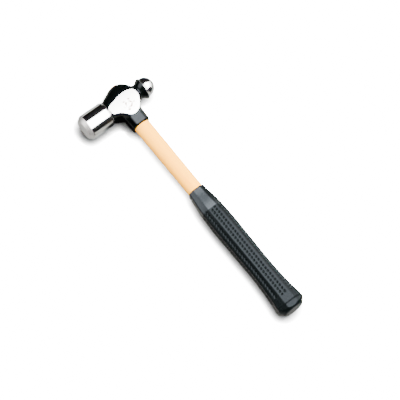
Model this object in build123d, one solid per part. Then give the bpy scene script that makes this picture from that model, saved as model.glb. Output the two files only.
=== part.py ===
import os

from build123d import *

# Ball peen hammer lying on its side. Millimetres.
# +X runs from the striking face to the ball, the handle runs towards -Y and +Z is up
# through the flat cheeks. Every piece is drawn about the point where the head's axis
# crosses the handle's axis, and moved at the end so that the frame's origin lies under
# the middle of the whole hammer. "Plan" means looking down on the upper cheek.

# --- poll: the striking end, turned about the head's axis ---------------------------
face_x = -62.4          # striking face
face_flat_r = 8.0       # its flat middle; outside this it curves back slightly
face_crown = 0.3        # how far the flat middle stands out from the bevel's edge
face_r = 13.2           # the face inside its bevel
bevel_x = -56.6         # back of the bevel
poll_r = 17.4           # radius at the back of the bevel
poll_root_x = -26.6     # where the poll ends
poll_root_r = 17.0
neck_x = -24.4          # shallow neck between the poll and the body
neck_r = 15.2
core_r = 13.5           # the bar's radius inside the body
edge_r = 0.6            # rounding of the turned edges

# --- ball: the peening end, on the same axis -----------------------------------------
waist_x = 22.6          # thinnest place, between the body and the ball
waist_r = 10.4
shoulder_x = 30.6       # edge behind the ball
shoulder_r = 14.6
ball_x = 34.0           # centre of the ball
ball_r = 12.8

# --- body: the middle of the head, around the eye ------------------------------------
cheek_z = 14.6          # height of the flat cheeks over the middle plane
fullness = 2.6          # exponent of the bulging sides: 2 is an ellipse, more is squarer
levels = (0.0, 0.45, 0.75, 0.93, 1.0)     # heights of the sections, as parts of cheek_z
# Outline at the middle plane and outline of the flat cheek, both in plan, with the
# same number of points, anticlockwise from the poll's side.
middle_outline = [
    (-26.0, 0.0), (-23.6, 12.6), (-14.6, 18.6), (-4.4, 22.9), (5.4, 23.5), (14.6, 18.3),
    (20.0, 9.4), (21.8, 0.0), (19.7, -10.4), (14.2, -17.6), (7.0, -26.0), (-7.0, -26.0),
    (-13.0, -19.4), (-20.5, -15.2), (-25.2, -9.5),
]
cheek_outline = [
    (-24.0, -3.4), (-20.8, 1.0), (-13.2, 3.2), (-3.9, 5.5), (5.4, 6.3), (13.2, 4.9),
    (18.0, 1.6), (19.4, -4.6), (17.0, -12.2), (12.8, -18.8), (6.0, -24.6), (-3.0, -25.2),
    (-9.4, -19.0), (-14.6, -14.2), (-22.0, -10.6),
]

# --- barrel: the octagonal sleeve of the head that grips the handle ------------------
# Sections (y, half width, half thickness, facet, side), from the lower end up: facet is
# the half width of the upper and lower flats, side that of the side flats.
barrel_sections = [(-39.8, 12.3, 13.4, 7.2, 6.8), (-6.0, 12.8, 13.8, 7.4, 7.0)]
barrel_edge_r = 1.2     # rounding of its long edges
barrel_rim_run = 1.4    # chamfer round the lower end: along the handle
barrel_rim_drop = 1.1   # and inwards
barrel_low_y = barrel_sections[0][0]

# --- eye: the oval hole, narrowest inside and opening towards both ends ----------------
# Sections (y, half width along X, half thickness along Z), from the crown down.
eye_sections = [(26.0, 10.2, 8.6), (-12.0, 8.6, 7.3), (barrel_low_y, 9.1, 7.8)]

# --- handle below the head, oval sections as for the eye ------------------------------
shaft_sections = [
    (barrel_low_y, 10.7, 9.2),
    (-75.0, 10.7, 9.2),
    (-150.0, 10.5, 9.2),
    (-250.0, 11.4, 9.8),
    (-338.0, 11.8, 10.0),
]

# --- wedges that spread the handle in the eye, flush with its end -----------------------
wood_wedge_depth, wood_wedge_thick = 32.0, 3.4
steel_wedge_depth, steel_wedge_thick = 17.0, 2.6
steel_wedge_width = 11.0
steel_wedge_x = 5.0     # each steel wedge stands this far to one side of the middle
wedge_top_y = 26.0      # the wedges are drawn from here and cut flush with the handle

# --- rubber grip: octagonal sections (y, half width, half thickness, facet, side) ------
# facet is the half width of the upper and lower flats, side that of the side flats.
grip_sections = [
    (-150.6, 11.1, 10.2, 5.2, 5.4),
    (-157.0, 11.6, 10.6, 5.5, 6.0),
    (-178.0, 13.9, 12.6, 6.2, 7.4),
    (-192.0, 14.6, 13.2, 6.3, 7.8),
    (-245.0, 14.6, 13.3, 6.3, 8.0),
    (-285.0, 14.4, 13.2, 6.2, 8.0),
    (-322.0, 16.4, 13.9, 6.5, 8.6),
    (-338.0, 18.2, 14.6, 6.9, 9.2),
    (-345.8, 18.4, 14.8, 7.0, 9.3),
]
grip_edge_r = 1.4       # rounding of the grip's long edges
grip_top_y, butt_y = grip_sections[0][0], grip_sections[-1][0]
butt_chamfer_y = -337.4     # the turned chamfer of the butt starts here at butt_chamfer_r
butt_chamfer_r = 21.0
butt_end_r = 13.0           # and ends at this radius


def body_outline(level):
    """Outline of the body at a height given as a part of cheek_z."""
    spread = (1 - level**fullness) ** (1 / fullness)
    return [
        (cx + (mx - cx) * spread, cy + (my - cy) * spread)
        for (mx, my), (cx, cy) in zip(middle_outline, cheek_outline)
    ]


def body():
    """The bulging middle of the head, with a flat cheek above and below."""
    heights = [-level for level in reversed(levels[1:])] + list(levels)
    sections = [
        Plane.XY.offset(height * cheek_z)
        * make_face(Spline(*body_outline(abs(height)), periodic=True))
        for height in heights
    ]
    return loft(sections)


def turned_bar():
    """Poll, neck, waist and ball in one, turned about the head's axis."""
    flat = Line((face_x, 0), (face_x, face_flat_r))
    face = TangentArc(flat @ 1, (face_x + face_crown, face_r), tangent=(0, 1))
    bevel = Line(face @ 1, (bevel_x, poll_r))
    poll = Line(bevel @ 1, (poll_root_x, poll_root_r))
    step = Line(poll @ 1, (neck_x, neck_r))
    core = Line(step @ 1, (0, core_r))
    taper = Line(core @ 1, (waist_x, waist_r))
    under = Spline(taper @ 1, (shoulder_x, shoulder_r), tangents=[(1, 0), (0.5, 1)])
    skirt = Line(under @ 1, (ball_x, ball_r))
    ball = RadiusArc(skirt @ 1, (ball_x + ball_r, 0), ball_r)
    axis = Line(ball @ 1, flat @ 0)
    outline = [flat, face, bevel, poll, step, core, taper, under, skirt, ball, axis]
    profile = make_face(outline)
    corners = [bevel @ 0, bevel @ 1, poll @ 1, step @ 1, under @ 1]
    edges = [min(profile.vertices(), key=lambda v: (v.center() - c).length) for c in corners]
    return revolve(fillet(edges, edge_r), axis=Axis.X)


def across(y):
    """Plane square to the handle's axis, with its X along the head's."""
    return Plane(origin=(0, y, 0), x_dir=(1, 0, 0), z_dir=(0, -1, 0))


def octagon(y, half_x, half_z, facet, side):
    quarter = [(half_x, side), (facet, half_z)]
    half = quarter + [(-x, z) for x, z in reversed(quarter)]
    corners = half + [(-x, -z) for x, z in half]
    return across(y) * make_face(Polyline(*corners, close=True))


def oval(y, half_x, half_z):
    return across(y) * Ellipse(half_x, half_z)


def octagonal_rod(sections, edge_r):
    """Octagonal rod through the sections, with its eight long edges rounded."""
    rod = loft([octagon(*section) for section in sections])
    length = abs(sections[-1][0] - sections[0][0])
    return fillet([edge for edge in rod.edges() if edge.length > 0.9 * length], edge_r)


def barrel():
    sleeve = octagonal_rod(barrel_sections, barrel_edge_r)
    low_end = sleeve.faces().sort_by(Axis.Y)[0]
    return chamfer(low_end.edges(), barrel_rim_drop, barrel_rim_run, reference=low_end)


def solid_head():
    """The head before the eye is cut through it."""
    return turned_bar() + body() + barrel()


def eye():
    return loft([oval(*section) for section in eye_sections])


def wooden_wedge():
    """Wedge across the whole tenon, thin along Z."""
    half = wood_wedge_thick / 2
    low = wedge_top_y - wood_wedge_depth
    blade = Polyline((wedge_top_y, -half), (wedge_top_y, half), (low, 0), close=True)
    return extrude(Plane.YZ * make_face(blade), amount=poll_r, both=True)


def steel_wedge(x):
    """Short wedge across the wooden one, thin along X."""
    half = steel_wedge_thick / 2
    low = wedge_top_y - steel_wedge_depth
    blade = Polyline((x - half, wedge_top_y), (x + half, wedge_top_y), (x, low), close=True)
    return extrude(make_face(blade), amount=steel_wedge_width / 2, both=True)


def shaft():
    """The handle from the head's lower end to inside the rubber."""
    return loft([oval(*section) for section in shaft_sections])


def grip_outside():
    """Octagonal sleeve, its butt chamfered by turning about the handle's axis."""
    half = Polyline(
        (0, grip_top_y),
        (butt_chamfer_r, grip_top_y),
        (butt_chamfer_r, butt_chamfer_y),
        (butt_end_r, butt_y),
        (0, butt_y),
        close=True,
    )
    return octagonal_rod(grip_sections, grip_edge_r) & revolve(make_face(half), axis=Axis.Y)


head = solid_head()
tenon = eye() & head
stick = tenon + shaft()
wedge_front = steel_wedge(-steel_wedge_x) & tenon
wedge_rear = steel_wedge(steel_wedge_x) & tenon
wedge_wood = wooden_wedge() & tenon
pieces = {
    "hammer_head": head - eye(),
    "handle": stick - wedge_wood - wedge_front - wedge_rear,
    "wooden_wedge": wedge_wood - wedge_front - wedge_rear,
    "steel_wedge_front": wedge_front,
    "steel_wedge_rear": wedge_rear,
    "rubber_grip": grip_outside() - stick,
}

box = Compound(list(pieces.values())).bounding_box()
to_frame = Pos(-box.center().X, -box.center().Y, -box.min.Z)
os.makedirs("parts", exist_ok=True)
for name, piece in pieces.items():
    export_step(to_frame * piece, f"parts/{name}.step")
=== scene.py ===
import bpy
import numpy as np
from mathutils import Matrix, Vector


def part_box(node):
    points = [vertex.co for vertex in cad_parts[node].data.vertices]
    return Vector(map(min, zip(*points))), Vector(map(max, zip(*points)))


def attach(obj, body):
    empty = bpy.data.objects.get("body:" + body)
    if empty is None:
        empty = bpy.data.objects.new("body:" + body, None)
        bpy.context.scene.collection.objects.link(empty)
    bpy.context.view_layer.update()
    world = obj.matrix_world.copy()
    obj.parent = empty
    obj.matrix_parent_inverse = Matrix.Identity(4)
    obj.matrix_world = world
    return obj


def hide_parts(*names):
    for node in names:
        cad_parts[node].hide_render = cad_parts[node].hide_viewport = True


MM = 0.001

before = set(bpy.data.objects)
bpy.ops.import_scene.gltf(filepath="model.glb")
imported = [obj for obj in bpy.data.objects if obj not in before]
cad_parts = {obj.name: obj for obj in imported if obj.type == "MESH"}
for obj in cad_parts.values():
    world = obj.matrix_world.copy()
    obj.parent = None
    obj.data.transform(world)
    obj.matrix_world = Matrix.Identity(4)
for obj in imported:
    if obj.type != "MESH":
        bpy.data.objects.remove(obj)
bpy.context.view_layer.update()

# The surfaces below are drawn in millimetres about the point where the head's axis
# crosses the handle's axis, and then moved to that point's place in the row frame.
# +X runs from the striking face to the ball, the handle runs towards -Y and +Z is up
# through the upper cheek.
FACE_X, BARREL_LOW_Y, BUTT_Y = -62.4, -39.8, -345.8
head_low, head_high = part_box("hammer_head")
crossing = Vector(
    (head_low.x - FACE_X * MM, head_low.y - BARREL_LOW_Y * MM, (head_low.z + head_high.z) / 2)
)

# --------------------------------------------------------------- sizes of the head

# Turned profile from the middle of the striking face to the waist: x, radius and how far
# the rounding of that corner reaches.
BEVEL_X, POLL_ROOT_X = -56.6, -26.6
BAR_CORNERS = np.array([
    (FACE_X, 0.0, 0.0),
    (FACE_X, 8.0, 0.5),         # edge of the face's flat middle
    (-62.1, 13.2, 0.8),         # edge of the face
    (BEVEL_X, 17.4, 1.2),       # back of the bevel
    (POLL_ROOT_X, 17.0, 0.5),   # back of the poll
    (-24.2, 14.6, 1.5),         # neck
    (-18.0, 12.2, 2.0),         # the bar inside the body
    (18.0, 12.6, 1.0),
    (23.4, 9.9, 0.8),           # waist
    (24.6, 10.4, 0.0),
])
# From the waist the profile swells in a curve to the edge behind the ball.
UNDER_BALL = np.array([(24.6, 10.4), (25.8, 10.5), (30.6, 14.6)])
SKIRT_X, SKIRT_R = 31.2, 14.5
BALL_X, BALL_R = 34.0, 12.8

# Body: outlines in plan at the middle plane and of the flat cheek, and the exponent of
# the bulge between them.
BODY_CENTRE = (-1.0, -2.0)
CHEEK_Z = 14.6
BODY_FULLNESS = 2.6
MIDDLE_OUTLINE = [
    (-26.0, 0.0), (-23.6, 12.6), (-14.6, 18.6), (-4.4, 22.9), (5.4, 23.5),
    (14.6, 18.3), (20.0, 9.4), (21.8, 0.0), (19.7, -10.4), (14.2, -17.6),
    (7.0, -26.0), (-7.0, -26.0), (-13.0, -19.4), (-20.5, -15.2), (-25.2, -9.5),
]
CHEEK_OUTLINE = [
    (-24.0, -3.4), (-20.8, 1.0), (-13.2, 3.2), (-3.9, 5.5), (5.4, 6.3),
    (13.2, 4.9), (18.0, 1.6), (19.4, -4.6), (17.0, -12.2), (12.8, -18.8),
    (6.0, -24.6), (-3.0, -25.2), (-9.4, -19.0), (-14.6, -14.2), (-22.0, -10.6),
]

# Barrel: half width, half thickness, facet and side of the octagon at its two ends.
BARREL_TOP_Y = -6.0
BARREL_LOW, BARREL_TOP = (12.3, 13.4, 7.2, 6.8), (12.8, 13.8, 7.4, 7.0)
RIM_RUN, RIM_DROP = 1.4, 1.1        # chamfer round its lower end, along and inwards
BARREL_FILLET = 2.5                 # between the barrel and the body
POLL_FILLET, WAIST_FILLET = 2.6, 1.2        # between the turned bar and the body
CROWN_INSET = 0.25                  # keeps the crown inside the solid's box

# --------------------------------------------------------------- sizes of the grip

# y, then half width, half thickness, facet and side of the octagon
GRIP_SECTIONS = np.array([
    (-150.6, 11.1, 10.2, 5.2, 5.4),
    (-157.0, 11.6, 10.6, 5.5, 6.0),
    (-178.0, 13.9, 12.6, 6.2, 7.4),
    (-192.0, 14.6, 13.2, 6.3, 7.8),
    (-245.0, 14.6, 13.3, 6.3, 8.0),
    (-285.0, 14.4, 13.2, 6.2, 8.0),
    (-322.0, 16.4, 13.9, 6.5, 8.6),
    (-338.0, 18.2, 14.6, 6.9, 9.2),
    (BUTT_Y, 18.4, 14.8, 7.0, 9.3),
])
GRIP_TOP_Y = GRIP_SECTIONS[0, 0]
SIDE_CUT, FLAT_CUT = 1.7, 1.0       # reach of the rounding at the sides and at the flats
TEXTURE_TOP_Y, TEXTURE_LOW_Y = -183.0, -324.0
TEXTURE_FADE = 0.8
PITCH, ROWS_APART = 4.6, 5.2        # of the pattern, along and across a flat
HOLLOW_DEPTH, HOLE_DEPTH = 0.3, 1.2
OFF_FLAT = 99.0                     # stands for "on a rounded corner"
GROOVE_Y, GROOVE_DEPTH, GROOVE_WIDTH = -336.3, 0.7, 0.55
CHAMFER_Y, CHAMFER_R, BUTT_R = -337.4, 21.0, 13.0       # turned chamfer of the butt

# ------------------------------------------------------------------- general shapes


def smooth_step(value, low, high):
    """0 below low and 1 above high, with 3t^2 - 2t^3 between them."""
    t = np.clip((value - low) / (high - low), 0.0, 1.0)
    return t * t * (3 - 2 * t)


def smooth_min(a, b, width):
    """The lesser of a and b, rounded where they differ by less than width."""
    near = np.maximum(width - np.abs(a - b), 0.0) / width
    return np.minimum(a, b) - near * near * width / 4


def smooth_max(a, b, width):
    """The greater of a and b, rounded in the same way."""
    return -smooth_min(-a, -b, width)


def quadratic_curve(start, corner, end, t):
    """Bezier curve that leaves start and reaches end in line with the corner."""
    return (1 - t) ** 2 * start + 2 * t * (1 - t) * corner + t**2 * end


def cubic_piece(start, end, start_slope, end_slope, t):
    """Hermite curve between two points with the given slopes, t from 0 to 1."""
    return (
        (2 * t**3 - 3 * t**2 + 1) * start
        + (t**3 - 2 * t**2 + t) * start_slope
        + (-2 * t**3 + 3 * t**2) * end
        + (t**3 - t**2) * end_slope
    )


def spaced(*runs):
    """The values of several evenly spaced runs, each given as first, last and count."""
    return np.concatenate([np.linspace(*run) for run in runs])


def rounded_corners(points, reaches, steps=6):
    """Open polyline with each inner corner replaced by a quadratic curve that starts and
    ends at its reach from the corner."""
    t = np.linspace(0, 1, steps)[:, None]
    parts = [points[:1]]
    for before, corner, after, reach in zip(points, points[1:], points[2:], reaches):
        to_before, to_after = before - corner, after - corner
        start = corner + to_before * min(0.45, reach / np.linalg.norm(to_before))
        end = corner + to_after * min(0.45, reach / np.linalg.norm(to_after))
        parts.append(quadratic_curve(start, corner, end, t))
    parts.append(points[-1:])
    return np.concatenate(parts)


def periodic_curve(points, samples=48):
    """Closed cubic spline through the points, even in slope and curvature, with the
    distance between points as its parameter."""
    points = np.asarray(points, float)
    count = len(points)
    after, before = np.roll(points, -1, 0), np.roll(points, 1, 0)
    h = np.linalg.norm(after - points, axis=1)
    h_before = np.roll(h, 1)
    rows = np.arange(count)
    system = np.zeros((count, count))
    system[rows, rows] = 2 * (1 / h + 1 / h_before)
    system[rows, (rows + 1) % count] = 1 / h
    system[rows, rows - 1] = 1 / h_before
    run = (after - points) / h[:, None] ** 2
    run_before = (points - before) / h_before[:, None] ** 2
    slope = np.linalg.solve(system, 3 * (run + run_before))[:, None]
    slope_after = np.roll(slope, -1, 0)
    h = h[:, None, None]
    t = np.linspace(0, 1, samples, endpoint=False)[None, :, None]
    curve = cubic_piece(points[:, None], after[:, None], h * slope, h * slope_after, t)
    return curve.reshape(-1, 2)


def polar_table(points):
    """Angles and radii of a closed curve about the body's centre, ready for np.interp."""
    x, y = (periodic_curve(points) - BODY_CENTRE).T
    angle = np.arctan2(y, x)
    order = np.argsort(angle)
    return angle[order], np.hypot(x, y)[order]


def smooth_table(y, table):
    """Smooth curve through the table's rows at the heights y, by Hermite pieces whose
    slopes are those of the straight lines between the neighbours."""
    ys, values = table[::-1, 0], table[::-1, 1:]
    slopes = np.gradient(values, ys, axis=0)
    i = np.clip(np.searchsorted(ys, y) - 1, 0, len(ys) - 2)
    h = (ys[i + 1] - ys[i])[:, None]
    t = (y - ys[i])[:, None] / h
    return cubic_piece(values[i], values[i + 1], h * slopes[i], h * slopes[i + 1], t)


# ----------------------------------------------------------------------- the head


def bar_profile():
    """Radius of the turned parts against x: flat face, bevel, poll, neck, waist, ball."""
    front = rounded_corners(BAR_CORNERS[:, :2], BAR_CORNERS[1:-1, 2])
    swell = np.linspace(0, 1, 9)[1:, None]
    under = quadratic_curve(*UNDER_BALL, swell)
    turn = np.radians(np.linspace(90, 0, 60))[:, None]
    ball = np.concatenate([BALL_X + BALL_R * np.cos(turn), BALL_R * np.sin(turn)], 1)
    x, radius = np.concatenate([front, under, [(SKIRT_X, SKIRT_R)], ball]).T
    always_rising = np.arange(len(x)) * 1e-7
    return x + always_rising, radius


BAR = bar_profile()
MIDDLE, CHEEK = polar_table(MIDDLE_OUTLINE), polar_table(CHEEK_OUTLINE)


def outline_distances(x, y):
    """Distance from the body's centre to a point, and to the middle and cheek outlines
    in the point's direction."""
    dx, dy = x - BODY_CENTRE[0], y - BODY_CENTRE[1]
    angle = np.arctan2(dy, dx)
    middle = np.interp(angle, *MIDDLE, period=2 * np.pi)
    cheek = np.interp(angle, *CHEEK, period=2 * np.pi)
    return np.hypot(dx, dy), middle, cheek


def body_field(x, y, z):
    """Negative inside the bulging body: between the cheek and middle outlines the
    distance follows a superellipse of the height over the middle plane."""
    distance, middle, cheek = outline_distances(x, y)
    level = np.clip(np.abs(z) / CHEEK_Z, 0, 1)
    spread = (1 - level**BODY_FULLNESS) ** (1 / BODY_FULLNESS)
    body = distance - (cheek + (middle - cheek) * spread)
    return np.maximum(body, np.abs(z) - CHEEK_Z - 1)


def barrel_field(x, y, z):
    """Negative inside the barrel: the greatest of the distances to its octagon's sides,
    with rounded edges, to the chamfer of its rim and to its ends."""
    along = np.clip((y - BARREL_LOW_Y) / (BARREL_TOP_Y - BARREL_LOW_Y), 0, 1)
    half_x, half_z, facet, side = (
        low + (top - low) * along for low, top in zip(BARREL_LOW, BARREL_TOP)
    )
    off_x, off_z = np.abs(x) - half_x, np.abs(z) - half_z
    rise, run = half_z - side, half_x - facet
    slant = (off_x * rise + (np.abs(z) - side) * run) / np.hypot(rise, run)
    prism = smooth_max(smooth_max(off_x, off_z, 0.2), slant, 0.8)
    past_end = BARREL_LOW_Y - y
    rim = (prism / RIM_DROP + past_end / RIM_RUN + 1) / np.hypot(1 / RIM_DROP, 1 / RIM_RUN)
    prism = smooth_max(smooth_max(prism, rim, 0.3), past_end, 0.4)
    hidden_end_y = 4
    return np.maximum(prism, y - hidden_end_y)


def head_field(p):
    """Distance-like value, negative inside the head: the turned bar, the bulging body
    and the octagonal barrel joined with fillets, then the two cheeks ground flat."""
    x, y, z = p[..., 0], p[..., 1], p[..., 2]
    bar = np.hypot(y, z) - np.interp(x, *BAR)
    bar = np.maximum(bar, np.maximum(FACE_X - x, x - BALL_X - BALL_R))
    fillet = POLL_FILLET + (WAIST_FILLET - POLL_FILLET) * smooth_step(x, 10, 18)
    whole = smooth_min(bar, body_field(x, y, z), fillet)
    whole = smooth_min(whole, barrel_field(x, y, z), BARREL_FILLET)
    whole = whole + CROWN_INSET * smooth_step(y, 12, 16)
    # the planes of the cheeks end before the poll and the ball, which are thicker
    clear = 6 * (smooth_step(-x, 23.0, 24.8) + smooth_step(x, 20.5, 23.0))
    return smooth_max(whole, np.abs(z) - CHEEK_Z - clear, 0.25)


def head_rays():
    """Rows of rays from the head's axis: their origins along the axis and their tilts in
    radians from the square direction. A fan at each end covers the face and the ball, and
    the rows close up at the corners of the turned profile."""
    front_tilts = spaced(
        (-89.5, -62, 8), (-59, -44.5, 8), (-43.8, -41.2, 7),
        (-39, -22.5, 6), (-21.8, -19.6, 6), (-17, -1, 4),
    )
    places = spaced(
        (-50, -27.5, 12), (-27.2, -22, 14), (-21.6, 22.2, 108),
        (22.6, 29.8, 16), (30.1, 31.6, 7), (32, 33.8, 4),
    )
    back_tilts = spaced((0.5, 89.0, 36))
    front_x = np.full(len(front_tilts), places[0])
    back_x = np.full(len(back_tilts), BALL_X)
    square = np.zeros(len(places))
    place = np.concatenate([front_x, places, back_x])[:, None]
    tilt = np.radians(np.concatenate([front_tilts, square, back_tilts]))[:, None]
    return place, tilt


def surface_distances(start, direction):
    """Distance along each ray to where it leaves head_field, found by steps from outside
    inwards and then by halving."""
    outside = 60.0
    steps = np.linspace(outside, 3, 96)
    near, far = np.zeros(start.shape[:2]), np.full(start.shape[:2], outside)
    found = np.zeros(start.shape[:2], bool)
    for outer, inner in zip(steps, steps[1:]):
        new = (head_field(start + direction * inner) < 0) & ~found
        near[new], far[new] = inner, outer
        found |= new
    for _ in range(16):
        half = (near + far) / 2
        inside = head_field(start + direction * half[..., None]) < 0
        near, far = np.where(inside, half, near), np.where(inside, far, half)
    return near[..., None]


def head_surface(columns=360):
    """Grid of points where rays from the head's axis, turned about it, leave head_field.
    Rays towards the barrel lean outwards so that its side faces get rows too. Normals are
    the field's gradient. Returns the points, the normals and the two end points."""
    place, tilt = head_rays()
    turn = np.linspace(0, 2 * np.pi, columns, endpoint=False)[None, :]
    down = np.clip(-np.cos(turn), 0, 1) ** 2
    lean = 0.75 * place * np.clip(1 - (place / 26) ** 2, 0, 1) ** 2 * down
    axis = np.zeros_like(lean)
    start = np.stack([place - lean, axis, axis], -1)
    target = np.stack([
        np.sin(tilt) + lean / 22,
        np.cos(tilt) * np.cos(turn),
        np.cos(tilt) * np.sin(turn),
    ], -1)
    direction = target / np.linalg.norm(target, axis=-1, keepdims=True)
    points = start + direction * surface_distances(start, direction)
    shifts = 0.15 * np.eye(3)
    normals = np.stack([head_field(points + s) - head_field(points - s) for s in shifts], -1)
    normals /= np.linalg.norm(normals, axis=-1, keepdims=True)
    return points, normals, ((FACE_X, 0, 0), (BALL_X + BALL_R, 0, 0))


def ground_areas(p):
    """How far a point is inside the bare ground areas, in mm: poll, ball and cheeks. A
    cheek's value falls steeply below its flat."""
    x, y, z = p[..., 0], p[..., 1], p[..., 2]
    distance, _, cheek = outline_distances(x, y)
    below_flat = np.maximum(0, CHEEK_Z - 1 - np.abs(z))
    poll_edge_x = -25.0
    return np.maximum(cheek - distance - 4 * below_flat, np.maximum(poll_edge_x - x, x - SKIRT_X))


# ----------------------------------------------------------------------- the grip


def octagon_rings(y, flat_steps=18, corner_steps=5):
    """Rings of an octagon with rounded corners, one for each y; the corners beside the
    upper and lower flats are rounded less. Returns the points (x, z), each one's place
    across its flat in mm and the number of its flat."""
    half_x, half_z, facet, side = smooth_table(y, GRIP_SECTIONS).T
    quarter = np.stack([np.stack([half_x, side], 1), np.stack([facet, half_z], 1)], 1)
    half = np.concatenate([quarter, quarter[:, ::-1] * [-1, 1]], 1)
    corners = np.concatenate([half, -half], 1)
    cuts = (SIDE_CUT, FLAT_CUT, FLAT_CUT, SIDE_CUT) * 2
    t_flat = np.linspace(0, 1, flat_steps + 1)[:-1, None]
    t_corner = np.linspace(0, 1, corner_steps + 1)[:-1, None]
    points, across, flat = [], [], []
    for k in range(8):
        a, b, c = corners[:, k], corners[:, (k + 1) % 8], corners[:, (k + 2) % 8]
        cut_a, cut_b = cuts[k], cuts[(k + 1) % 8]
        ab, bc = np.linalg.norm(b - a, axis=1)[:, None], np.linalg.norm(c - b, axis=1)[:, None]
        first, last = a + (b - a) * cut_a / ab, b - (b - a) * cut_b / ab
        following = b + (c - b) * cut_b / bc
        run = first[:, None] + (last - first)[:, None] * t_flat
        turn = quadratic_curve(last[:, None], b[:, None], following[:, None], t_corner)
        points += [run, turn]
        middle = np.linalg.norm((a + b) / 2 - first, axis=1)[:, None]
        on_flat = t_flat[:, 0] * (ab - cut_a - cut_b) - middle
        across += [on_flat, np.full((len(y), corner_steps), OFF_FLAT)]
        flat += [k] * (flat_steps + corner_steps)
    return np.concatenate(points, 1), np.concatenate(across, 1), np.array(flat)


def dimples(y, across, flat):
    """Depth of the moulded pattern: along each flat run hollows with round ridges between
    them, two on the upper, lower and side flats and one on each slanting flat, and in
    every hollow a row of short holes, staggered against the next row."""
    paired = (flat % 2 == 1)[None, :]
    middle = np.where(paired, np.where(across > 0, 0.5, -0.5) * ROWS_APART, 0.0)
    off_row = across - middle
    wave = 0.5 + 0.5 * np.cos(2 * np.pi * np.clip(off_row / ROWS_APART, -0.5, 0.5))
    hollow = np.where(np.abs(across) < OFF_FLAT, wave, 0.0)
    row = (across > 0) + flat[None, :]
    along = ((y[:, None] / PITCH + 0.5 * (row % 2)) % 1.0 - 0.5) * PITCH
    hole_length, hole_width = 1.55, 1.35
    hole = 1 - smooth_step(np.hypot(along / hole_length, off_row / hole_width), 0.5, 1.1)
    below_top = smooth_step(-y, -TEXTURE_TOP_Y, -TEXTURE_TOP_Y + TEXTURE_FADE)
    above_end = smooth_step(y, TEXTURE_LOW_Y - TEXTURE_FADE, TEXTURE_LOW_Y)
    return (HOLLOW_DEPTH * hollow + HOLE_DEPTH * hole) * (below_top * above_end)[:, None]


def grip_rows():
    """Heights of the grip's rings: fine in the pattern and the groove, and several at the
    same height on the flat ends."""
    return np.concatenate([
        GRIP_TOP_Y - np.array([0, 0, 0, 0.25, 0.7]),
        np.linspace(GRIP_TOP_Y - 1.5, TEXTURE_TOP_Y + 2, 14),
        np.arange(TEXTURE_TOP_Y + 1.5, TEXTURE_LOW_Y - 1.5, -0.55),
        np.linspace(TEXTURE_LOW_Y - 2, GROOVE_Y + 1.6, 8),
        np.linspace(GROOVE_Y + 1.3, GROOVE_Y - 1.3, 13),
        np.linspace(GROOVE_Y - 1.7, BUTT_Y + 0.4, 22),
        BUTT_Y + np.array([0.15, 0, 0, 0]),
    ])


def grip_surface():
    """Octagonal rings along the handle, pressed in by the dimples and by a bell-shaped
    groove, and limited by the turned chamfer of the butt; both ends close on the handle's
    axis. Returns the points, the two end points and the dimples' depth."""
    y = grip_rows()
    ring, across, flat = octagon_rings(y)
    pattern = dimples(y, across, flat)
    groove = GROOVE_DEPTH * np.exp(-(((y - GROOVE_Y) / GROOVE_WIDTH) ** 2))
    inset = pattern + groove[:, None]
    inset[:4] = [[8.0], [2.0], [0.6], [0.15]]
    radius = np.linalg.norm(ring, axis=-1)
    cone = CHAMFER_R + (y - CHAMFER_Y) * (CHAMFER_R - BUTT_R) / (CHAMFER_Y - BUTT_Y)
    wanted = smooth_min(radius - inset, cone[:, None], 0.5)
    wanted[-4:] = np.minimum(wanted[-4:], [[BUTT_R - 0.1], [BUTT_R - 0.4], [8.0], [3.0]])
    ring = ring * (wanted / radius)[..., None]
    along = np.broadcast_to(y[:, None], ring.shape[:2])
    points = np.stack([ring[..., 0], along, ring[..., 1]], -1)
    return points, ((0, GRIP_TOP_Y, 0), (0, BUTT_Y, 0)), pattern


def add_surface(name, points, ends, node, values, normals=None):
    """Closed mesh from rings of points and the two end points, outward faces. values is
    (attribute name, value at every point); the end points get the mean of their rings."""
    rows, columns = points.shape[:2]
    corners = np.concatenate([points.reshape(-1, 3), np.array(ends, float)])
    index = np.arange(rows * columns).reshape(rows, columns)
    after = np.roll(index, -1, 1)
    quads = np.stack([index[:-1], after[:-1], after[1:], index[1:]], -1).reshape(-1, 4)
    first = np.stack([np.full(columns, rows * columns), after[0], index[0]], -1)
    last = np.stack([np.full(columns, rows * columns + 1), index[-1], after[-1]], -1)
    a, b, c = (corners[quads[:, k]] for k in (0, 1, 2))
    inside_out = (a * np.cross(b, c)).sum() < 0
    faces = []
    for part in (quads, first, last):
        faces += (part[:, ::-1] if inside_out else part).tolist()
    mesh = bpy.data.meshes.new(name)
    mesh.from_pydata((corners * MM + np.array(crossing)).tolist(), [], faces)
    mesh.shade_smooth()
    attribute, numbers = values
    numbers = np.concatenate([numbers.ravel(), [numbers[0].mean(), numbers[-1].mean()]])
    layer = mesh.attributes.new(attribute, "FLOAT", "POINT")
    layer.data.foreach_set("value", numbers.astype(np.float32))
    if normals is not None:
        directions = np.concatenate([normals.reshape(-1, 3), [(-1.0, 0, 0), (1.0, 0, 0)]])
        mesh.normals_split_custom_set_from_vertices(directions.tolist())
    piece = bpy.data.objects.new(name, mesh)
    bpy.context.scene.collection.objects.link(piece)
    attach(piece, "root")
    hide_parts(node)
    return piece


# ------------------------------------------------------------------ material helpers


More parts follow.
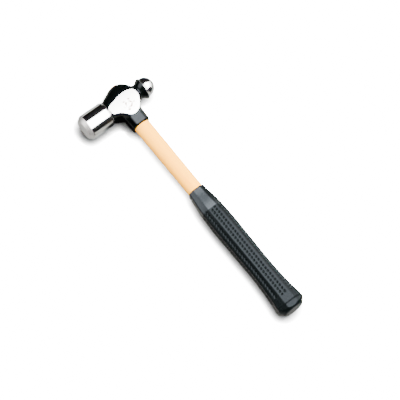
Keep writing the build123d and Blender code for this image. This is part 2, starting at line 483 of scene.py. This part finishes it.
class Nodes:
    """Short names for building a material's node tree."""

    def __init__(self, tree):
        self.tree = tree

    def put(self, value, socket):
        """Link a socket's value into another socket, or set it to a plain value."""
        if isinstance(value, bpy.types.NodeSocket):
            self.tree.links.new(value, socket)
        else:
            socket.default_value = value

    def add(self, kind, inputs=None, **settings):
        node = self.tree.nodes.new(kind)
        for key, value in settings.items():
            setattr(node, key, value)
        for key, value in (inputs or {}).items():
            self.put(value, node.inputs[key])
        return node

    def math(self, operation, *values):
        inputs = dict(enumerate(values))
        return self.add("ShaderNodeMath", inputs, operation=operation).outputs[0]

    def plus(self, a, b):
        return self.math("ADD", a, b)

    def minus(self, a, b):
        return self.math("SUBTRACT", a, b)

    def times(self, a, b):
        return self.math("MULTIPLY", a, b)

    def distance_from(self, value, middle):
        """How far a value is from a middle value."""
        return self.math("ABSOLUTE", self.minus(value, middle))

    def ramp(self, value, low, high, out_low=0.0, out_high=1.0):
        inputs = {0: value, 1: low, 2: high, 3: out_low, 4: out_high}
        return self.add("ShaderNodeMapRange", inputs).outputs[0]

    def shared(self, group, vector, **values):
        """Output of one of the node groups that the materials share."""
        node = self.add("ShaderNodeGroup")
        node.node_tree = bpy.data.node_groups.get(group.__name__) or group()
        for key, value in {"Vector": vector, **values}.items():
            self.put(value, node.inputs[key])
        return node.outputs[0]

    def noise(self, vector, scale, detail=2.0, stretch=(1, 1, 1)):
        return self.shared(stretched_noise, vector, Scale=scale, Detail=detail, Stretch=stretch)

    def mix(self, factor, a, b):
        """Colour that goes from a to b as the factor goes from 0 to 1."""
        node = self.add("ShaderNodeMix", data_type="RGBA")
        self.put(factor, node.inputs[0])
        for value, socket in ((a, node.inputs[6]), (b, node.inputs[7])):
            self.put((*value, 1) if isinstance(value, tuple) else value, socket)
        return node.outputs[2]

    def bump(self, height, strength):
        inputs = {"Height": height, "Strength": strength, "Distance": 0.2 * MM}
        return self.add("ShaderNodeBump", inputs).outputs[0]


def group_tree(name, sockets):
    """New node group with inputs (name, kind) and one value as its output."""
    tree = bpy.data.node_groups.new(name, "ShaderNodeTree")
    for socket, kind in sockets:
        tree.interface.new_socket(socket, in_out="INPUT", socket_type=kind)
    tree.interface.new_socket("Value", in_out="OUTPUT", socket_type="NodeSocketFloat")
    nodes = Nodes(tree)
    given, value = nodes.add("NodeGroupInput").outputs, nodes.add("NodeGroupOutput").inputs[0]
    return tree, nodes, given, value


def stretched_noise():
    """Noise whose grains are drawn out along the axes with a small stretch value."""
    tree, nodes, given, value = group_tree("stretched_noise", [
        ("Vector", "NodeSocketVector"), ("Scale", "NodeSocketFloat"),
        ("Detail", "NodeSocketFloat"), ("Stretch", "NodeSocketVector"),
    ])
    inputs = {"Vector": given["Vector"], "Scale": given["Stretch"]}
    mapped = nodes.add("ShaderNodeMapping", inputs).outputs[0]
    inputs = {"Vector": mapped, "Scale": given["Scale"], "Detail": given["Detail"]}
    nodes.put(nodes.add("ShaderNodeTexNoise", inputs).outputs[0], value)
    return tree


def worn_edges():
    """Mask of the outward edges, broken up by noise, where handling has rubbed a surface."""
    tree, nodes, given, value = group_tree("worn_edges", [("Vector", "NodeSocketVector")])
    sharp = nodes.add("ShaderNodeNewGeometry").outputs["Pointiness"]
    broken = nodes.ramp(nodes.noise(given["Vector"], 650, 3), 0.42, 0.62)
    nodes.put(nodes.times(nodes.ramp(sharp, 0.53, 0.62), broken), value)
    return tree


def material(name):
    """New material: its node helper, its Principled node and its object coordinates."""
    mat = bpy.data.materials.new(name)
    mat.use_nodes = True
    nodes = Nodes(mat.node_tree)
    bsdf = mat.node_tree.nodes["Principled BSDF"]
    place = nodes.add("ShaderNodeTexCoord").outputs["Object"]
    return mat, nodes, bsdf, place


def finish_material(nodes, bsdf, specular, tint, **values):
    """Set the plain specular level and tint, and feed the other sockets by name."""
    bsdf.inputs["Specular IOR Level"].default_value = specular
    bsdf.inputs["Specular Tint"].default_value = (*tint, 1)
    for key, value in values.items():
        nodes.put(value, bsdf.inputs[key.replace("_", " ")])


# ------------------------------------------------------------------------ materials

MARK_X, MARK_Y = 1.4, -11.4         # middle of the ornament on the cheek
MARK_RING_R, MARK_DOT_R, MARK_SPOKES_R = 3.9, 1.3, 7.2


def stamp(nodes, place):
    """Mask of a faint worn printed mark on the upper cheek: a ring, a dot in its middle
    and six short spokes round it. It is plain ornament, without lettering."""
    centre = (crossing.x + MARK_X * MM, crossing.y + MARK_Y * MM, crossing.z)
    moved = nodes.add("ShaderNodeVectorMath", {0: place, 1: centre}, operation="SUBTRACT")
    x, y, height = nodes.add("ShaderNodeSeparateXYZ", {0: moved.outputs[0]}).outputs
    flat = nodes.add("ShaderNodeCombineXYZ", {0: x, 1: y}).outputs[0]
    length = nodes.add("ShaderNodeVectorMath", {0: flat}, operation="LENGTH").outputs["Value"]
    radius = nodes.math("DIVIDE", length, MM)
    ring = nodes.ramp(nodes.distance_from(radius, MARK_RING_R), 1.3, 0.9)
    dot = nodes.ramp(radius, MARK_DOT_R + 0.2, MARK_DOT_R - 0.2)
    six_waves = nodes.math("COSINE", nodes.times(nodes.math("ARCTAN2", y, x), 6.0))
    spoke_band = nodes.ramp(nodes.distance_from(radius, MARK_SPOKES_R), 1.2, 0.9)
    spokes = nodes.times(nodes.ramp(six_waves, 0.2, 0.5), spoke_band)
    shape = nodes.math("MAXIMUM", nodes.math("MAXIMUM", ring, dot), spokes)
    worn = nodes.ramp(nodes.noise(place, 300, 2), 0.42, 0.56)
    upper = nodes.ramp(height, (CHEEK_Z - 0.6) * MM, (CHEEK_Z - 0.3) * MM)
    return nodes.times(nodes.times(shape, worn), upper)


def head_material():
    """Steel, ground and polished where the ground attribute is above 0, and gloss black
    lacquer elsewhere. The striking face and its bevel are ground duller."""
    mat, nodes, bsdf, place = material("polished and lacquered steel")
    ground = nodes.add("ShaderNodeAttribute", attribute_name="ground").outputs["Fac"]
    ragged = nodes.times(nodes.minus(nodes.noise(place, 900, 2), 0.5), 0.5)
    bare = nodes.ramp(nodes.plus(ground, ragged), -0.12, 0.12)
    covered = nodes.minus(1.0, bare)
    along = nodes.add("ShaderNodeSeparateXYZ", {0: place}).outputs[0]
    bevel_end = crossing.x + (BEVEL_X + 0.2) * MM
    dull = nodes.ramp(along, bevel_end + 0.2 * MM, bevel_end - 0.2 * MM)
    scratches = nodes.noise(place, 260, 3, (1, 14, 14))
    patches = nodes.noise(place, 90, 3)
    mark = stamp(nodes, place)
    worn = nodes.shared(worn_edges, place)

    steel = nodes.mix(patches, (0.80, 0.79, 0.77), (0.88, 0.87, 0.85))
    steel = nodes.mix(dull, steel, (0.62, 0.60, 0.58))
    steel = nodes.mix(mark, steel, (0.36, 0.24, 0.19))
    lacquer = nodes.mix(patches, (0.0004, 0.0007, 0.00065), (0.0008, 0.0012, 0.0011))
    lacquer = nodes.mix(worn, lacquer, (0.008, 0.009, 0.010))

    polished = nodes.ramp(scratches, 0.3, 0.7, 0.07, 0.15)
    steel_rough = nodes.plus(polished, nodes.times(dull, 0.38))
    glossy = nodes.ramp(patches, 0.3, 0.7, 0.05, 0.10)
    lacquer_rough = nodes.plus(glossy, nodes.times(worn, 0.15))
    rough = nodes.plus(nodes.times(bare, steel_rough), nodes.times(covered, lacquer_rough))

    orange_peel = nodes.noise(place, 420, 1)
    steel_relief = nodes.times(scratches, nodes.times(bare, 0.25))
    relief = nodes.plus(steel_relief, nodes.times(orange_peel, covered))
    finish_material(
        nodes, bsdf, 0.16, (0.84, 0.92, 1.0),
        Base_Color=nodes.mix(bare, lacquer, steel),
        Metallic=nodes.minus(bare, mark),
        Roughness=rough,
        Normal=nodes.bump(relief, 0.1),
    )
    return mat


def wood_material(name, light, dark):
    """Clear finished wood: fibres, broad bands and pores drawn out along the handle. Its mirror
    image in the steel is painted near black, a painted shade in its reflections."""
    mat, nodes, bsdf, place = material(name)
    fibres = nodes.noise(place, 900, 4, (1, 0.04, 1))
    bands = nodes.noise(place, 130, 2, (1, 0.03, 0.6))
    pores = nodes.noise(place, 1800, 2, (1, 0.05, 1))
    tone = nodes.plus(nodes.times(bands, 0.6), nodes.times(fibres, 0.4))
    colour = nodes.mix(nodes.ramp(tone, 0.36, 0.64), light, dark)
    pore_mask = nodes.ramp(pores, 0.60, 0.72, 0.0, 0.35)
    colour = nodes.mix(pore_mask, colour, tuple(0.6 * c for c in dark))
    worn = nodes.times(nodes.shared(worn_edges, place), 0.5)
    colour = nodes.mix(worn, colour, tuple(0.5 * c for c in dark))
    # painted shade: rays from reflections see the wood near black
    mirrored = nodes.add("ShaderNodeLightPath").outputs["Is Glossy Ray"]
    finish_material(
        nodes, bsdf, 0.02, (1.0, 0.62, 0.3),
        Base_Color=nodes.mix(mirrored, colour, (0.02, 0.012, 0.004)),
        Roughness=nodes.ramp(fibres, 0.3, 0.7, 0.34, 0.5),
        Normal=nodes.bump(fibres, 0.2),
    )
    return mat


def wedge_steel_material():
    mat, nodes, bsdf, place = material("plain wedge steel")
    grain = nodes.noise(place, 700, 3, (1, 1, 8))
    worn = nodes.shared(worn_edges, place)
    steel = nodes.mix(grain, (0.35, 0.34, 0.33), (0.5, 0.49, 0.48))
    finish_material(
        nodes, bsdf, 0.5, (1, 1, 1),
        Base_Color=nodes.mix(worn, steel, (0.7, 0.69, 0.67)),
        Metallic=1.0,
        Roughness=nodes.ramp(grain, 0.3, 0.7, 0.28, 0.45),
        Normal=nodes.bump(grain, 0.2),
    )
    return mat


def rubber_material(name, specular, graininess):
    """Black rubber, rougher in the holes of the pattern and where it is worn."""
    mat, nodes, bsdf, place = material(name)
    depth = nodes.add("ShaderNodeAttribute", attribute_name="depth").outputs["Fac"]
    smear = nodes.noise(place, 120, 3)
    worn = nodes.shared(worn_edges, place)
    satin = nodes.ramp(smear, 0.3, 0.7, 0.20, 0.28)
    in_holes = nodes.ramp(depth, 0.4, 1.4, 0.0, 0.3)
    rough = nodes.plus(nodes.plus(satin, in_holes), nodes.times(worn, 0.08))
    base = nodes.mix(smear, (0.0010, 0.0016, 0.0016), (0.0018, 0.0026, 0.0026))
    finish_material(
        nodes, bsdf, specular, (0.80, 0.90, 1.0),
        Base_Color=nodes.mix(worn, base, (0.006, 0.008, 0.008)),
        Roughness=rough,
        Normal=nodes.bump(nodes.noise(place, 1500, 2), graininess),
    )
    return mat


def floor_material():
    """White paper. The camera sees it bright, with the soft shadow that the lamps throw, deepened
    beside the object on the side away from the light by a painted shadow from an occlusion mask.
    Other rays see it dark, but for a painted band of light beside the head and the handle, less
    painted shade in the corner between the poll and the handle."""
    mat, nodes, bsdf, place = material("pale floor")
    # painted shadow: an occlusion mask, its normal tilted away from the light, darkens the paper
    # for the camera beside the object
    away_from_light = nodes.add("ShaderNodeCombineXYZ", {0: 0.72, 1: 0.2, 2: 0.66}).outputs[0]
    inputs = {"Distance": 12 * MM, "Normal": away_from_light}
    open_part = nodes.add("ShaderNodeAmbientOcclusion", inputs, samples=16).outputs["AO"]
    paper = nodes.mix(nodes.noise(place, 6, 3), (3.4, 3.4, 3.4), (3.6, 3.6, 3.6))
    paper_with_painted_shadow = nodes.mix(nodes.math("POWER", open_part, 5.0), (0.03, 0.03, 0.03), paper)

    # painted light and shade in reflections: the floor that other rays see is lighter in a band
    # beside the head and the handle, and painted dark in the corner between the poll and the
    # handle
    x, y, _ = nodes.add("ShaderNodeSeparateXYZ", {0: place}).outputs
    off_handle = nodes.distance_from(x, crossing.x)
    off_head = nodes.distance_from(y, crossing.y)
    off_both = nodes.math("MINIMUM", off_handle, off_head)
    corner = (crossing.x - 12 * MM, crossing.y - 28 * MM, 0)
    to_corner = nodes.add("ShaderNodeVectorMath", {0: place, 1: corner}, operation="DISTANCE")
    outside_painted_corner_shade = nodes.ramp(to_corner.outputs["Value"], 18 * MM, 30 * MM)
    painted_light_band = nodes.times(nodes.ramp(off_both, 55 * MM, 35 * MM), outside_painted_corner_shade)
    painted_reflected_floor = nodes.mix(painted_light_band, (0.004, 0.004, 0.004), (0.15, 0.15, 0.14))

    seen = nodes.add("ShaderNodeLightPath").outputs["Is Camera Ray"]
    inputs = {"Color": nodes.mix(seen, painted_reflected_floor, paper_with_painted_shadow), "Roughness": 0.5}
    diffuse = nodes.add("ShaderNodeBsdfDiffuse", inputs)
    output = mat.node_tree.nodes["Material Output"]
    mat.node_tree.nodes.remove(bsdf)
    nodes.put(diffuse.outputs[0], output.inputs[0])
    return mat


# ---------------------------------------------------------------------- the object

points, normals, ends = head_surface()
ground = ("ground", ground_areas(points))
head = add_surface("head", points, ends, "hammer_head", ground, normals)
head.data.materials.append(head_material())

points, ends, depth = grip_surface()
grip = add_surface("grip", points, ends, "rubber_grip", ("depth", depth))
grip.data.materials.append(rubber_material("shiny black rubber", 0.25, 0.15))
grip.data.materials.append(rubber_material("grainy black rubber", 0.075, 0.45))
middles = np.zeros(3 * len(grip.data.polygons))
grip.data.polygons.foreach_get("center", middles)
patterned = middles[1::3] < crossing.y + TEXTURE_TOP_Y * MM
grip.data.polygons.foreach_set("material_index", patterned.astype(np.int32))

for node, mat in {
    "handle": wood_material("hickory", (0.98, 0.43, 0.020), (0.95, 0.36, 0.012)),
    "wooden_wedge": wood_material("dark wedge wood", (0.42, 0.26, 0.13), (0.30, 0.17, 0.08)),
    "steel_wedge_front": wedge_steel_material(),
    "steel_wedge_rear": wedge_steel_material(),
}.items():
    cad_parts[node].data.materials.clear()
    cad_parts[node].data.materials.append(mat)

# ------------------------------------------------------------------------- studio


def add_camera():
    """Long lens above the hammer. Its place is measured from the crossing along its own
    right, up and back."""
    azimuth, tilt, roll = np.radians((-40.95749, 20.46543, 3.24778))
    turn = (
        Matrix.Rotation(azimuth, 4, "Z")
        @ Matrix.Rotation(tilt, 4, "X")
        @ Matrix.Rotation(roll, 4, "Z")
    )
    data = bpy.data.cameras.new("camera")
    data.sensor_width = 36.0
    data.lens = 177.8
    data.clip_end = 20.0
    camera = bpy.data.objects.new("camera", data)
    place = crossing + turn @ (MM * Vector((97.676, -123.461, 2500.258)))
    camera.matrix_world = Matrix.Translation(place) @ turn
    bpy.context.scene.collection.objects.link(camera)
    bpy.context.scene.camera = camera


def add_floor():
    half = 30.0
    corners = [(-half, -half, 0), (half, -half, 0), (half, half, 0), (-half, half, 0)]
    mesh = bpy.data.meshes.new("floor")
    mesh.from_pydata(corners, [], [(0, 1, 2, 3)])
    floor = bpy.data.objects.new("floor", mesh)
    bpy.context.scene.collection.objects.link(floor)
    floor.data.materials.append(floor_material())


def add_light(name, place, target, width, height, power):
    data = bpy.data.lights.new(name, "AREA")
    data.shape = "RECTANGLE"
    data.size = width
    data.size_y = height
    data.energy = power
    light = bpy.data.objects.new(name, data)
    light.location = place
    light.rotation_euler = (Vector(place) - Vector(target)).to_track_quat("Z", "Y").to_euler()
    light.visible_camera = False
    bpy.context.scene.collection.objects.link(light)


add_camera()
add_floor()
add_light("overhead softbox", (0.82, -0.345, 1.2), (0.82, -0.345, 0), 2.54, 1.85, 310)
add_light("side softbox", (2.1, -0.3, 0.62), (0, -0.3, 0.62), 1.9, 1.15, 50)
add_light("bevel fill", (-0.62, 0.48, 0.40), (-0.05, 0.16, 0.02), 0.5, 0.5, 5.5)
world = bpy.data.worlds.new("world")
world.use_nodes = True
world.node_tree.nodes["Background"].inputs[0].default_value = (0.01, 0.01, 0.01, 1)
bpy.context.scene.world = world
